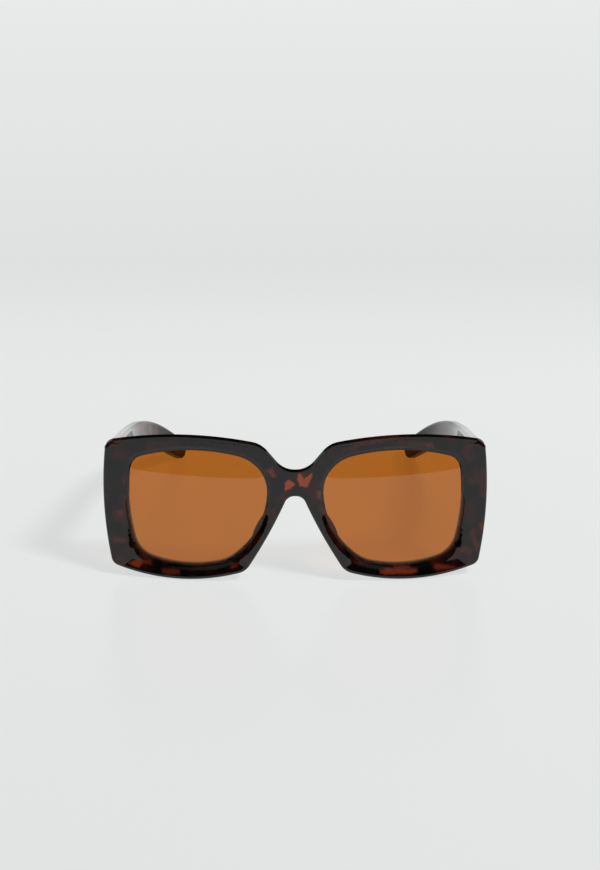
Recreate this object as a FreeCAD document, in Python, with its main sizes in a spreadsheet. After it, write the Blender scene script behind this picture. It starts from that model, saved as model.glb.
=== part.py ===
"""Oversized square sunglasses: a thick wrapped front, two lenses and two temples on screw hinges.

Lengths are in millimetres and angles in degrees. The pieces are drawn in the frame of the front:
x runs to the wearer's left from the middle of the bridge, y runs backwards and z runs up the front.
The right-hand half, seen from the front, is drawn and the other half mirrors it. At the end the
whole pair is pitched until the rims and the temple tips stand on one level surface.
"""
import FreeCAD
import Part
import Sketcher

import math
import os
import re
from collections import namedtuple

Vector = FreeCAD.Vector

SIZES = {
    # Outline of the front, z measured from the foot of the rims and the offsets of its peaks
    # outwards from the middle of the lens
    "front_width": 147.0,
    "front_height": 56.8,
    "front_thickness": 6.0,
    "wrap_radius": 350.0,
    "brow_offset": 4.3,
    "brow_radius": 142.0,
    "side_peak": 34.5,
    "side_radius": 150.0,
    "chin_offset": 5.3,
    "chin_radius": 78.0,
    "outer_corner": 3.8,
    "front_edge_round": 1.3,
    "back_edge_round": 2.0,
    # Bridge, its drop below the brow, and the gap for the nose, as wide as given at a depth
    # below its top
    "bridge_drop": 13.1,
    "bridge_height": 9.7,
    "bridge_flat": 0.2,
    "bridge_slope": 50.0,
    "bridge_dip": 9.0,
    "bridge_shoulder": 10.0,
    "nose_flat": 0.3,
    "nose_gap": 20.0,
    "nose_depth": 15.0,
    "nose_flare": 28.0,
    "nose_radius": 200.0,
    "nose_corner": 7.0,
    # Lens opening: its offset from the gap for the nose, the rim left around it, its peaks
    # measured from its middle, and how far its nose side turns from its peak to the foot
    "opening_nose_offset": 1.05,
    "rim_above": 5.8,
    "rim_below": 6.0,
    "rim_beside": 9.15,
    "opening_top_peak": 1.0,
    "opening_top_radius": 72.0,
    "opening_outer_peak": 5.2,
    "opening_outer_radius": 75.0,
    "opening_bottom_peak": 3.0,
    "opening_bottom_radius": 50.0,
    "opening_nose_peak": 7.7,
    "opening_nose_turn": 66.23,
    "opening_top_outer_corner": 7.0,
    "opening_bottom_outer_corner": 10.0,
    "opening_bottom_nose_corner": 13.0,
    "opening_top_nose_corner": 14.5,
    "opening_front_round": 3.45,
    "opening_back_round": 0.6,
    # Lens and the groove that holds it
    "lens_radius": 200.0,
    "lens_thickness": 1.8,
    "lens_setback": 0.9,
    "lens_bite": 0.8,
    "lens_clearance": 0.08,
    # Nose pads, bonded to the back of the rims
    "pad_length": 15.0,
    "pad_width": 4.4,
    "pad_height": 6.5,
    "pad_inset": 3.1,
    # End piece of the front and the place of the hinge on it, its drop below the brow
    "joint_depth": 17.5,
    "joint_drop": 13.6,
    "joint_gap": 0.12,
    "pantoscopic_angle": 7.0,
    "temple_toe_in": 1.5,
    "end_piece_width": 7.8,
    # Temple, set in from the side of the front
    "temple_inset": 0.9,
    "temple_thickness": 4.4,
    "temple_butt_height": 16.0,
    "temple_bend_height": 10.5,
    "temple_tip_height": 8.0,
    "temple_tip_flat": 0.4,
    "temple_bend_at": 90.0,
    "temple_bend_angle": 22.0,
    "temple_bend_radius": 110.0,
    "temple_tail_length": 40.0,
    "temple_curl_at": 78.0,
    "temple_curl_angle": 18.0,
    "temple_curl_radius": 220.0,
    "temple_edge_round": 1.3,
    # Core wire of the temple
    "wire_height": 2.2,
    "wire_thickness": 1.2,
    "wire_start": 1.0,
    "wire_tip_distance": 9.0,
    "wire_clearance": 0.08,
    # Hinge
    "knuckle_radius": 1.3,
    "knuckle_height": 1.3,
    "knuckle_gap": 0.06,
    "knuckle_clearance": 0.12,
    "leaf_thickness": 1.0,
    "leaf_height": 8.0,
    "front_leaf_inner_reach": 1.6,
    "front_leaf_outer_reach": 4.4,
    "temple_leaf_length": 11.0,
    "leaf_clearance": 0.05,
    "screw_radius": 0.6,
    "screw_clearance": 0.04,
    "screw_head_radius": 1.1,
    "screw_head_height": 0.8,
    "screw_slot_width": 0.35,
    "screw_slot_depth": 0.4,
}

FRONT_KNUCKLES = (0, 2, 4)
TEMPLE_KNUCKLES = (1, 3)
KNUCKLES = len(FRONT_KNUCKLES) + len(TEMPLE_KNUCKLES)

# How near a point lies to a face that it is on, and the least share of a volume that a cut takes
NEARNESS = 1e-3
LEAST_CHANGE = 1e-6
# The most of a rim's free width that the round of the opening takes
MOST_ROUND = 0.9
# How finely the points that the pair stands on are taken, and the range and step of its pitch
STANDING_TOLERANCE = 0.03
STANDING_PITCH_LIMITS = (-30.0, 30.0)
STANDING_PITCH_STEP = 1e-6

document = FreeCAD.newDocument("sunglasses")
sheet = document.addObject("Spreadsheet::Sheet", "Sizes")
for row, (alias, number) in enumerate(SIZES.items(), 1):
    sheet.set(f"A{row}", alias)
    sheet.set(f"B{row}", str(number))
    sheet.setAlias(f"B{row}", alias)
document.recompute()


def formula(text):
    """Turn words for sizes into references to the sheet's cells."""
    return re.sub(r"[a-z_]+", lambda word: "Sizes." + word[0] if word[0] in SIZES else word[0], text)


def value(text):
    """Work out a formula in words for sizes."""
    return float(sheet.evalExpression(formula(text)))


def bind(item, **formulas):
    """Bind an object's properties to formulas of the sheet's sizes."""
    for path, text in formulas.items():
        item.setExpression(path, formula(text))


# Sizes that follow from the ones above
opening_inside = "(nose_gap / 2 + opening_nose_offset)"
opening_width = f"(front_width / 2 - rim_beside - {opening_inside})"
opening_height = "(front_height - rim_above - rim_below)"
opening_nose_radius = f"(({opening_height} / 2 + opening_nose_peak) / sin(opening_nose_turn))"
lens_middle = f"({opening_inside} + {opening_width} / 2)"
lens_level = f"(rim_below + {opening_height} / 2)"
bridge_top = "(front_height - bridge_drop)"
nose_top = f"({bridge_top} - bridge_height)"
nose_middle = f"({nose_top} - nose_depth)"
temple_outer_face = "(front_width / 2 - temple_inset)"


# Sides of an outline: a line through two points, or an arc with its farthest point, the way that
# point faces and the radius. The inside of the outline lies on the left of each side.
Line = namedtuple("Line", "ax ay bx by")
Arc = namedtuple("Arc", "peak_x peak_y facing radius")
Corner = namedtuple("Corner", "start end centre inward")


def left(direction):
    return Vector(-direction.y, direction.x, 0)


class Curve:
    """A side in numbers: a straight one has a point and a heading, a round one a centre and a radius."""

    def __init__(self, middle=None, point=None, heading=None, centre=None, radius=None):
        self.middle = middle
        self.point = point
        self.heading = heading
        self.centre = centre
        self.radius = radius

    @classmethod
    def of(cls, side):
        numbers = [value(text) for text in side]
        first = Vector(numbers[0], numbers[1], 0)
        if isinstance(side, Line):
            last = Vector(numbers[2], numbers[3], 0)
            return cls(middle=(first + last) * 0.5, point=first, heading=(last - first).normalize())
        facing, radius = math.radians(numbers[2]), numbers[3]
        outward = Vector(math.cos(facing), math.sin(facing), 0)
        return cls(middle=first, centre=first - outward * radius, radius=radius)

    def moved(self, inward):
        if self.heading:
            return Curve(point=self.point + left(self.heading) * inward, heading=self.heading)
        return Curve(centre=self.centre, radius=self.radius - inward)

    def foot(self, place):
        if self.heading:
            return self.point + self.heading * (place - self.point).dot(self.heading)
        return self.centre + (place - self.centre).normalize() * self.radius

    def along(self, place):
        return self.heading or left((place - self.centre).normalize())


def meeting(first, second, near):
    """The point nearest to a place where two curves cross."""
    if first.heading and second.heading:
        across = left(second.heading)
        distance = (second.point - first.point).dot(across) / first.heading.dot(across)
        return first.point + first.heading * distance
    ring, other = (second, first) if first.heading else (first, second)
    if other.heading:
        base = other.foot(ring.centre)
        direction = other.heading
    else:
        apart = other.centre - ring.centre
        share = (apart.Length ** 2 + ring.radius ** 2 - other.radius ** 2) / (2 * apart.Length ** 2)
        base = ring.centre + apart * share
        direction = left(apart).normalize()
    reach = math.sqrt(ring.radius ** 2 - (base - ring.centre).Length ** 2)
    return min((base + direction * reach, base - direction * reach), key=lambda place: (place - near).Length)


def corner_between(first, second, radius):
    sharp = meeting(first, second, (first.middle + second.middle) * 0.5)
    if radius == 0:
        return Corner(sharp, sharp, None, 0)
    turn = first.along(sharp).cross(second.along(sharp)).z
    inward = math.copysign(radius, turn)
    centre = meeting(first.moved(inward), second.moved(inward), sharp)
    return Corner(first.foot(centre), second.foot(centre), centre, inward)


def arc_about(centre, start, end):
    """The counter-clockwise arc about a centre from one point to another."""
    first = math.atan2(start.y - centre.y, start.x - centre.x)
    last = math.atan2(end.y - centre.y, end.x - centre.x)
    if last <= first:
        last += 2 * math.pi
    circle = Part.Circle(centre, Vector(0, 0, 1), (start - centre).Length)
    return Part.ArcOfCircle(circle, first, last)


class Drawing:
    """A fully dimensioned sketch of one closed outline on a plane of its body."""

    origin_index, x_axis_index, y_axis_index = -1, -1, -2

    def __init__(self, body, name, plane_role):
        self.sketch = body.newObject("Sketcher::SketchObject", name)
        plane = next(item for item in body.Origin.OriginFeatures if item.Role == plane_role)
        self.sketch.AttachmentSupport = [(plane, "")]
        self.sketch.MapMode = "FlatFace"

    def tie(self, *constraint):
        return self.sketch.addConstraint(Sketcher.Constraint(*constraint))

    def dimension(self, text, *constraint):
        index = self.tie(*constraint, value(text))
        name = f"size_{index}"
        self.sketch.renameConstraint(index, name)
        self.sketch.setExpression(f"Constraints.{name}", formula(text))

    def pin(self, item, point, x_text, y_text):
        across = ("DistanceX", x_text, self.y_axis_index)
        upward = ("DistanceY", y_text, self.x_axis_index)
        for kind, text, axis in (across, upward):
            if text == "0":
                self.tie("PointOnObject", item, point, axis)
            else:
                self.dimension(text, kind, self.origin_index, 1, item, point)

    def add_line(self, side, start, end):
        item = self.sketch.addGeometry(Part.LineSegment(start, end))
        for x_text, y_text in (side[:2], side[2:]):
            mark = self.sketch.addGeometry(Part.Point(Vector(value(x_text), value(y_text), 0)), True)
            self.pin(mark, 1, x_text, y_text)
            self.tie("PointOnObject", mark, 1, item)
        return item

    def add_arc(self, side, curve, start, end):
        item = self.sketch.addGeometry(arc_about(curve.centre, start, end))
        centre_x = f"{side.peak_x} - ({side.radius}) * cos({side.facing})"
        centre_y = f"{side.peak_y} - ({side.radius}) * sin({side.facing})"
        self.pin(item, 3, centre_x, centre_y)
        self.dimension(side.radius, "Radius", item)
        return item

    def add_corner(self, corner, text, before, after):
        if corner.centre is None:
            self.tie("Coincident", before, 2, after, 1)
            return
        start, end, enter, leave = corner.start, corner.end, 1, 2
        if corner.inward < 0:
            start, end, enter, leave = end, start, leave, enter
        item = self.sketch.addGeometry(arc_about(corner.centre, start, end))
        self.tie("Tangent", before, 2, item, enter)
        self.tie("Tangent", item, leave, after, 1)
        self.dimension(text, "Radius", item)

    def outline(self, sides, rounds):
        """Draw the sides in turn, each followed by the round of the corner at its end."""
        curves = [Curve.of(side) for side in sides]
        following = curves[1:] + curves[:1]
        corners = [corner_between(*pair, value(text)) for *pair, text in zip(curves, following, rounds)]
        items = []
        for index, (side, curve) in enumerate(zip(sides, curves)):
            start, end = corners[index - 1].end, corners[index].start
            if isinstance(side, Line):
                items.append(self.add_line(side, start, end))
            else:
                items.append(self.add_arc(side, curve, start, end))
        for index, corner in enumerate(corners):
            self.add_corner(corner, rounds[index], items[index], items[(index + 1) % len(items)])
        document.recompute()
        return self.sketch


def prism(name, plane_role, sides, rounds, length, centred=True, reverse=False):
    """A body padded from one outline."""
    body = document.addObject("PartDesign::Body", name)
    sketch = Drawing(body, name + "_outline", plane_role).outline(sides, rounds)
    pad = body.newObject("PartDesign::Pad", name + "_pad")
    pad.Profile = sketch
    pad.Midplane = centred
    pad.Reversed = reverse
    bind(pad, Length=length)
    document.recompute()
    return body


def primitive(kind, name, position, frame=None, **formulas):
    """A bound Part primitive at a bound place, or at a place in another frame."""
    item = document.addObject("Part::" + kind, name)
    bind(item, **formulas)
    if frame:
        place = Vector(*[value(text) for text in position])
        item.Placement = frame * FreeCAD.Placement(place, FreeCAD.Rotation())
    else:
        for axis, text in zip("xyz", position):
            item.setExpression(f"Placement.Base.{axis}", formula(text))
    document.recompute()
    return item


volumes = {}


def combine(kind, name, base, tool):
    """A boolean of two objects, checked to have changed the base."""
    item = document.addObject("Part::" + kind, name)
    item.Base = base
    item.Tool = tool
    item.Refine = True
    document.recompute()
    volumes[name] = item.Shape.Volume
    before = volumes.get(base.Name) or base.Shape.Volume
    if abs(volumes[name] - before) < LEAST_CHANGE * before:
        raise ValueError(f"{name} changes nothing")
    return item


def join(name, items):
    item = document.addObject("Part::MultiFuse", name)
    item.Shapes = items
    item.Refine = True
    document.recompute()
    return item


def rounded(name, base, *groups):
    """Fillet groups of edges, each given as a test of an edge and a radius."""
    edges = []
    for test, radius in groups:
        picked = [(index, radius, radius) for index, edge in enumerate(base.Shape.Edges, 1) if test(edge)]
        if not picked:
            raise ValueError(f"{name} finds no edges")
        edges += picked
    item = document.addObject("Part::Fillet", name)
    item.Base = base
    item.Edges = edges
    document.recompute()
    return item


def samples(edge, count=5):
    first, last = edge.ParameterRange
    return [edge.valueAt(first + (last - first) * step / (count - 1)) for step in range(count)]


def on_cylinder(radius):
    """Test that an edge lies on an upright cylinder about the wrap axis, off the plane of symmetry."""
    def test(edge):
        places = samples(edge)
        wrap_axis = value("wrap_radius")
        near = all(abs(math.hypot(place.x, place.y - wrap_axis) - radius) < NEARNESS for place in places)
        return near and not all(abs(place.x) < NEARNESS for place in places)
    return test


def wrap_depth(x_text):
    """Formula for how far the wrap has carried the front face back at a distance from the middle."""
    return f"(wrap_radius - sqrt(wrap_radius ^ 2 - ({x_text}) ^ 2))"


# Frames of the lens and of the hinge, in the frame of the front

face_turn = math.degrees(math.asin(value(lens_middle) / value("wrap_radius")))
lens_frame = FreeCAD.Placement(
    Vector(value(lens_middle), value(wrap_depth(lens_middle)), value(lens_level)),
    FreeCAD.Rotation(Vector(0, 0, 1), face_turn),
)

axis_gap = "(knuckle_radius + knuckle_clearance)"
hinge_x = f"({temple_outer_face} - temple_thickness - {axis_gap})"
hinge_frame = FreeCAD.Placement(
    Vector(value(hinge_x), value("joint_depth"), value("front_height - joint_drop")),
    FreeCAD.Rotation(Vector(1, 0, 0), -value("pantoscopic_angle"))
    * FreeCAD.Rotation(Vector(0, 0, 1), value("temple_toe_in")),
)


# The front

def front_outline():
    nose_x = "nose_gap / 2 + nose_radius * cos(nose_flare) - nose_flat"
    nose_rise = "(nose_radius * sin(nose_flare) - nose_depth)"
    arch = f"((({nose_x}) ^ 2 + {nose_rise} ^ 2 - nose_radius ^ 2) / (2 * (nose_radius - {nose_rise})))"
    slope_x = "bridge_flat + bridge_dip * tan(bridge_slope / 2)"
    sides = [
        Line("0", nose_top, arch, nose_top),
        Arc("nose_gap / 2", nose_middle, "180 + nose_flare", "nose_radius"),
        Arc(f"{lens_middle} + chin_offset", "0", "270", "chin_radius"),
        Arc("front_width / 2", "side_peak", "0", "side_radius"),
        Arc(f"{lens_middle} + brow_offset", "front_height", "90", "brow_radius"),
        Line(f"{slope_x} + bridge_dip * cos(bridge_slope)",
             f"{bridge_top} + bridge_dip * sin(bridge_slope)", slope_x, bridge_top),
        Line(slope_x, bridge_top, "0", bridge_top),
        Line("0", bridge_top, "0", nose_top),
    ]
    rounds = [arch, "nose_corner", "outer_corner", "outer_corner", "bridge_shoulder", "bridge_dip", "0", "0"]
    return sides, rounds


def opening_outline(grow):
    """The lens opening in the lens frame, grown outwards by a formula."""
    half_width = f"({opening_width} / 2 + {grow})"
    half_height = f"({opening_height} / 2 + {grow})"
    sides = [
        Arc("opening_bottom_peak", f"0 - {half_height}", "270", f"(opening_bottom_radius + {grow})"),
        Arc(half_width, "opening_outer_peak", "0", f"(opening_outer_radius + {grow})"),
        Arc("opening_top_peak", half_height, "90", f"(opening_top_radius + {grow})"),
        Arc(f"0 - {half_width}", "opening_nose_peak", "180", f"({opening_nose_radius} + {grow})"),
    ]
    corners = ("bottom_outer", "top_outer", "top_nose", "bottom_nose")
    return sides, [f"(opening_{corner}_corner + {grow})" for corner in corners]


def lens_prism(name, grow):
    body = prism(name, "XZ_Plane", *opening_outline(grow), "4 * front_thickness")
    body.Placement = lens_frame
    return body


def lens_shell(name, slack):
    """A round shell as thick as the lens and its slack, about the middle of the lens's curve."""
    faces = {"outer": f"lens_radius + {slack}", "inner": f"lens_radius - lens_thickness - {slack}"}
    spheres = []
    for side, radius in faces.items():
        middle = ("0", "lens_setback + lens_radius", "0")
        spheres.append(primitive("Sphere", f"{name}_{side}", middle, lens_frame, Radius=radius))
    return combine("Cut", name, *spheres)


def make_slab():
    """Half of the bent front with its outer edges rounded, and the cylinder of its back face."""
    depth = f"{wrap_depth('front_width / 2')} + 2 * front_thickness"
    blank = prism("front_blank", "XZ_Plane", *front_outline(), depth, centred=False, reverse=True)
    foot = ("0", "wrap_radius", "0 - front_thickness")
    height = "front_height + 2 * front_thickness"
    front_face = primitive("Cylinder", "front_face", foot, Radius="wrap_radius", Height=height)
    back_radius = "wrap_radius - front_thickness"
    back_face = primitive("Cylinder", "back_face", foot, Radius=back_radius, Height=height)
    slab = combine("Common", "front_slab", blank, combine("Cut", "wrap_shell", front_face, back_face))
    slab = rounded(
        "front_slab_rounded", slab,
        (on_cylinder(value("wrap_radius")), value("front_edge_round")),
        (on_cylinder(value(back_radius)), value("back_edge_round")),
    )
    return slab, back_face


def make_end_piece():
    """The block at the side of the front that carries the hinge, drawn in the hinge frame."""
    outer = f"({axis_gap} + temple_thickness)"
    inner = f"({outer} - end_piece_width)"
    half = "temple_butt_height / 2"
    sides = [
        Line(inner, f"0 - {half}", outer, f"0 - {half}"),
        Line(outer, f"0 - {half}", outer, half),
        Line(outer, half, inner, half),
        Line(inner, half, inner, f"0 - {half}"),
    ]
    length = f"joint_depth - {wrap_depth(hinge_x)} - front_thickness / 2"
    block = prism("end_piece", "XZ_Plane", sides, ["temple_edge_round"] * 4, length, centred=False)
    block.Placement = hinge_frame
    return block


def edges_of(item, test):
    """The edges of an object that pass a test, as one shape."""
    return Part.Compound([edge for edge in item.Shape.Edges if test(edge)])


def make_front():
    slab, back_face = make_slab()
    opened = combine("Cut", "front_opened", slab, lens_prism("opening", "0"))
    around_opening = opening_edge("wrap_radius")
    outer_edges = edges_of(document.getObject("front_slab"), on_cylinder(value("wrap_radius")))
    rim_width = outer_edges.distToShape(edges_of(opened, around_opening))[0]
    free_width = rim_width - value("front_edge_round")
    front_round = min(value("opening_front_round"), MOST_ROUND * free_width)
    rim = rounded(
        "front_rim", opened,
        (around_opening, front_round),
        (opening_edge("wrap_radius - front_thickness"), value("opening_back_round")),
    )
    half = combine("Fuse", "front_half_joined", rim, make_end_piece())
    groove = combine("Common", "lens_groove", lens_prism("groove_prism", "lens_bite + lens_clearance"),
                     lens_shell("groove_shell", "lens_clearance"))
    half = combine("Cut", "front_half_grooved", half, groove)
    seat = leaf_plate("front_leaf_seat", *front_leaf_box("leaf_clearance"), hinge_frame)
    half = combine("Cut", "front_half", half, seat)
    front = combine("Fuse", "front_frame", half, mirrored("front_other_half", half))
    return front, back_face


def opening_edge(radius_text):
    """Test that an edge is where the lens opening meets the front or the back face."""
    on_face = on_cylinder(value(radius_text))
    opening = document.getObject("opening").Shape

    def test(edge):
        if not on_face(edge):
            return False
        return all(opening.distToShape(Part.Vertex(place))[0] < NEARNESS for place in samples(edge))
    return test


def mirrored(name, source):
    item = document.addObject("Part::Mirroring", name)
    item.Source = source
    item.Normal = Vector(1, 0, 0)
    document.recompute()
    return item


# The lenses and the nose pads

def make_lens():
    disc = lens_prism("lens_prism", "lens_bite")
    return combine("Common", "lens_right", disc, lens_shell("lens_shell", "0"))


def make_nose_pad(back_face):
    flare = math.radians(value("nose_flare"))
    across = Vector(math.cos(flare), 0, math.sin(flare))
    middle = Vector(value("nose_gap / 2"), 0, value(nose_middle)) + across * value("pad_inset")
    back_radius = value("wrap_radius - front_thickness")
    middle.y = value("wrap_radius") - math.sqrt(back_radius ** 2 - middle.x ** 2)
    dome = document.addObject("Part::Ellipsoid", "nose_pad_dome")
    bind(dome, Radius1="pad_length / 2", Radius2="pad_width / 2", Radius3="pad_height")
    dome.Placement = FreeCAD.Placement(middle, FreeCAD.Rotation(Vector(0, 1, 0), -value("nose_flare")))
    document.recompute()
    return combine("Common", "nose_pad_right", dome, back_face)


# The hinge, drawn in the hinge frame with its axis upright

axis_y = axis_gap
stack_height = f"({KNUCKLES} * knuckle_height + {KNUCKLES - 1} * knuckle_gap)"


def knuckle_foot(index):
    return f"{index} * (knuckle_height + knuckle_gap) - {stack_height} / 2"


def leaf_plate(name, low, high, frame=None):
    """A box between two corners given as formulas."""
    lengths = [f"({top}) - ({bottom})" for bottom, top in zip(low, high)]
    return primitive("Box", name, low, frame, Length=lengths[0], Width=lengths[1], Height=lengths[2])


def front_leaf_box(slack):
    low = (f"0 - front_leaf_inner_reach - {slack}", f"0 - leaf_thickness - {slack}",
           f"0 - leaf_height / 2 - {slack}")
    high = (f"front_leaf_outer_reach + {slack}", "0", f"leaf_height / 2 + {slack}")
    return low, high


def temple_leaf_box(slack):
    low = (axis_gap, f"{axis_y} - {slack}", f"0 - leaf_height / 2 - {slack}")
    high = (f"{axis_gap} + leaf_thickness + {slack}", f"{axis_y} + temple_leaf_length + {slack}",
            f"leaf_height / 2 + {slack}")
    return low, high


def make_leaf(name, plate_box, knuckles, web_low, web_high):
    """A plate with knuckles, each joined to the plate by a web, and one bore through them all."""
    pieces = [leaf_plate(name + "_plate", *plate_box)]
    for index in knuckles:
        foot = knuckle_foot(index)
        place = ("0", axis_y, foot)
        pieces.append(primitive("Cylinder", f"{name}_knuckle_{index}", place,
                                Radius="knuckle_radius", Height="knuckle_height"))
        low, high = web_low + (foot,), web_high + (f"{foot} + knuckle_height",)
        pieces.append(leaf_plate(f"{name}_web_{index}", low, high))
    bore = primitive("Cylinder", name + "_bore", ("0", axis_y, f"0 - {stack_height}"),
                     Radius="screw_radius + screw_clearance", Height=f"2 * {stack_height}")
    return combine("Cut", name, join(name + "_solid", pieces), bore)


def make_front_leaf():
    web_low = ("0 - knuckle_radius", "0 - leaf_thickness")
    web_high = ("0", axis_y)
    return make_leaf("front_hinge_leaf_right", front_leaf_box("0"), FRONT_KNUCKLES, web_low, web_high)


def make_temple_leaf():
    web_low = ("0", axis_y)
    web_high = (f"{axis_gap} + leaf_thickness", f"{axis_y} + knuckle_radius")
    return make_leaf("temple_hinge_leaf_right", temple_leaf_box("0"), TEMPLE_KNUCKLES, web_low, web_high)


def make_screw():
    shank = primitive("Cylinder", "screw_shank", ("0", axis_y, f"0 - {stack_height} / 2"),
                      Radius="screw_radius", Height=stack_height)
    head = primitive("Cylinder", "screw_head", ("0", axis_y, f"{stack_height} / 2"),
                     Radius="screw_head_radius", Height="screw_head_height")
    top = f"{stack_height} / 2 + screw_head_height"
    slot = leaf_plate(
        "screw_slot",
        ("0 - screw_slot_width / 2", f"{axis_y} - 2 * screw_head_radius", f"{top} - screw_slot_depth"),
        ("screw_slot_width / 2", f"{axis_y} + 2 * screw_head_radius", f"{top} + screw_slot_depth"),
    )
    return combine("Cut", "hinge_screw_right", join("screw_solid", [shank, head]), slot)


# The temple and its core wire, drawn in the hinge frame

temple_reach = "(temple_bend_at + temple_tail_length)"


def temple_side_outline(start, butt, bend, tip, tail_length, tip_round):
    """Side view of a strip along the temple: its height at the butt, at the bend and at the tip."""
    lean = "temple_bend_angle"
    tip_y = f"(temple_bend_at + ({tail_length}) * cos({lean}))"
    tip_z = f"(0 - ({tail_length}) * sin({lean}))"
    points = [
        (start, f"0 - ({butt}) / 2"),
        (f"temple_bend_at - ({bend}) / 2 * tan({lean} / 2)", f"0 - ({bend}) / 2"),
        (f"{tip_y} - ({tip}) / 2 * sin({lean})", f"{tip_z} - ({tip}) / 2 * cos({lean})"),
        (f"{tip_y} + ({tip}) / 2 * sin({lean})", f"{tip_z} + ({tip}) / 2 * cos({lean})"),
        (f"temple_bend_at + ({bend}) / 2 * tan({lean} / 2)", f"({bend}) / 2"),
        (start, f"({butt}) / 2"),
    ]
    sides = [Line(*point, *following) for point, following in zip(points, points[1:] + points[:1])]
    under, over = f"temple_bend_radius - ({bend}) / 2", f"temple_bend_radius + ({bend}) / 2"
    return sides, [under, tip_round, tip_round, over, "0", "0"]


def temple_plan_outline(start, inset, thickness):
    """View from above of a strip along the temple, set in from its outer face."""
    lean = "temple_curl_angle"
    outer = f"({axis_gap} + temple_thickness - ({inset}))"
    inner = f"({outer} - ({thickness}))"
    shift = f"tan({lean} / 2)"
    tail = temple_reach
    points = [
        (outer, start),
        (outer, f"temple_curl_at - ({inset}) * {shift}"),
        (f"{outer} - {tail} * sin({lean})", f"temple_curl_at - ({inset}) * {shift} + {tail} * cos({lean})"),
        (f"{inner} - {tail} * sin({lean}) - ({thickness}) * (cos({lean}) - 1)",
         f"temple_curl_at - ({inset}) * {shift} + {tail} * cos({lean}) - ({thickness}) * sin({lean})"),
        (inner, f"temple_curl_at - ({inset} + {thickness}) * {shift}"),
        (inner, start),
    ]
    sides = [Line(*point, *following) for point, following in zip(points, points[1:] + points[:1])]
    radius = f"temple_curl_radius - ({inset})"
    return sides, [radius, "0", "0", f"{radius} - ({thickness})", "0", "0"]


def strip(name, side_outline, plan_outline):
    """A strip that follows both views of the temple."""
    side = prism(name + "_side", "YZ_Plane", *side_outline, temple_reach)
    plan = prism(name + "_plan", "XY_Plane", *plan_outline, temple_reach)
    return combine("Common", name, side, plan)


def wire_strip(name, start, slack):
    height = f"wire_height + 2 * {slack}"
    thickness = f"wire_thickness + 2 * {slack}"
    tail_length = f"temple_tail_length - wire_tip_distance + {slack}"
    side = temple_side_outline(start, height, height, height, tail_length, "wire_height / 4")
    inset = f"temple_thickness / 2 - wire_thickness / 2 - {slack}"
    return strip(name, side, temple_plan_outline(start, inset, thickness))


def off_butt(edge):
    return not all(abs(place.y - value("joint_gap")) < NEARNESS for place in samples(edge))


def make_temple():
    tip_round = "temple_tip_height / 2 - temple_tip_flat"
    side = temple_side_outline("joint_gap", "temple_butt_height", "temple_bend_height", "temple_tip_height",
                               "temple_tail_length", tip_round)
    blank = strip("temple_blank", side, temple_plan_outline("joint_gap", "0", "temple_thickness"))
    body = rounded("temple_rounded", blank, (off_butt, value("temple_edge_round")))
    body = combine("Cut", "temple_slotted", body, wire_strip("wire_slot", "0 - wire_start", "wire_clearance"))
    seat_low, seat_high = temple_leaf_box("leaf_clearance")
    open_low = ("0",) + seat_low[1:]
    return combine("Cut", "temple_right", body, leaf_plate("temple_leaf_seat", open_low, seat_high))


# The whole pair

def low_places(shape, frame):
    """Points on the lower half of a shape, where it can touch what it stands on."""
    places = [frame.multVec(place) for place in shape.tessellate(STANDING_TOLERANCE)[0]]
    heights = [place.z for place in places]
    limit = (min(heights) + max(heights)) / 2
    return [place for place in places if place.z < limit]


def lowest(places, pitch):
    return min(pitch.multVec(place).z for place in places)


def standing_pitch(front_places, temple_places):
    """The pitch at which the lowest points of the front and of the temples are level."""
    low, high = STANDING_PITCH_LIMITS
    while high - low > STANDING_PITCH_STEP:
        angle = (low + high) / 2
        pitch = FreeCAD.Rotation(Vector(1, 0, 0), angle)
        if lowest(front_places, pitch) < lowest(temple_places, pitch):
            high = angle
        else:
            low = angle
    return FreeCAD.Rotation(Vector(1, 0, 0), (low + high) / 2)


front_frame, front_back_face = make_front()
fixed_pieces = [front_frame, make_lens(), make_nose_pad(front_back_face)]
temple = make_temple()
hinge_pieces = [make_front_leaf(), make_temple_leaf(), make_screw(), temple,
                wire_strip("temple_core_wire_right", "wire_start", "0")]

front_places = low_places(front_frame.Shape, FreeCAD.Placement())
temple_places = low_places(temple.Shape, hinge_frame)
pitch = standing_pitch(front_places, temple_places)
standing = FreeCAD.Placement(Vector(0, 0, -lowest(front_places, pitch)), pitch)
for piece in fixed_pieces:
    piece.Placement = standing
for piece in hinge_pieces:
    piece.Placement = standing * hinge_frame
span = Part.Compound([front_frame.Shape, temple.Shape]).optimalBoundingBox(False)
shift = FreeCAD.Placement(Vector(0, -span.Center.y, 0), FreeCAD.Rotation())
pieces = fixed_pieces + hinge_pieces
for piece in pieces:
    piece.Placement = shift * piece.Placement
    piece.purgeTouched()
pieces += [mirrored(piece.Name.replace("_right", "_left"), piece) for piece in pieces[1:]]
for piece in pieces:
    piece.Label = piece.Name

faulty = [item.Name for item in document.Objects if {"Invalid", "Error"} & set(item.State)]
faulty += [piece.Name for piece in pieces if piece.Shape.isNull() or not piece.Shape.isValid()]
if faulty:
    raise ValueError(f"faulty objects: {faulty}")

os.makedirs("parts", exist_ok=True)
for piece in pieces:
    piece.Shape.exportStep(f"parts/{piece.Label}.step")
    print(piece.Label, len(piece.Shape.Solids), round(piece.Shape.Volume, 2), piece.Shape.BoundBox)
print("pitch", math.degrees(pitch.Angle))
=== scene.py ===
"""Oversized square sunglasses in polished tortoiseshell, standing open on a pale table.

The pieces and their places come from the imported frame, in metres: x runs to the wearer's left,
y runs back along the temples and z runs up. The operators give each piece its finish and set the
table, the light and the camera. Left and right are as the camera sees them.
"""
import functools
import math
from collections import namedtuple

import bpy
from mathutils import Matrix, Vector


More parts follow.
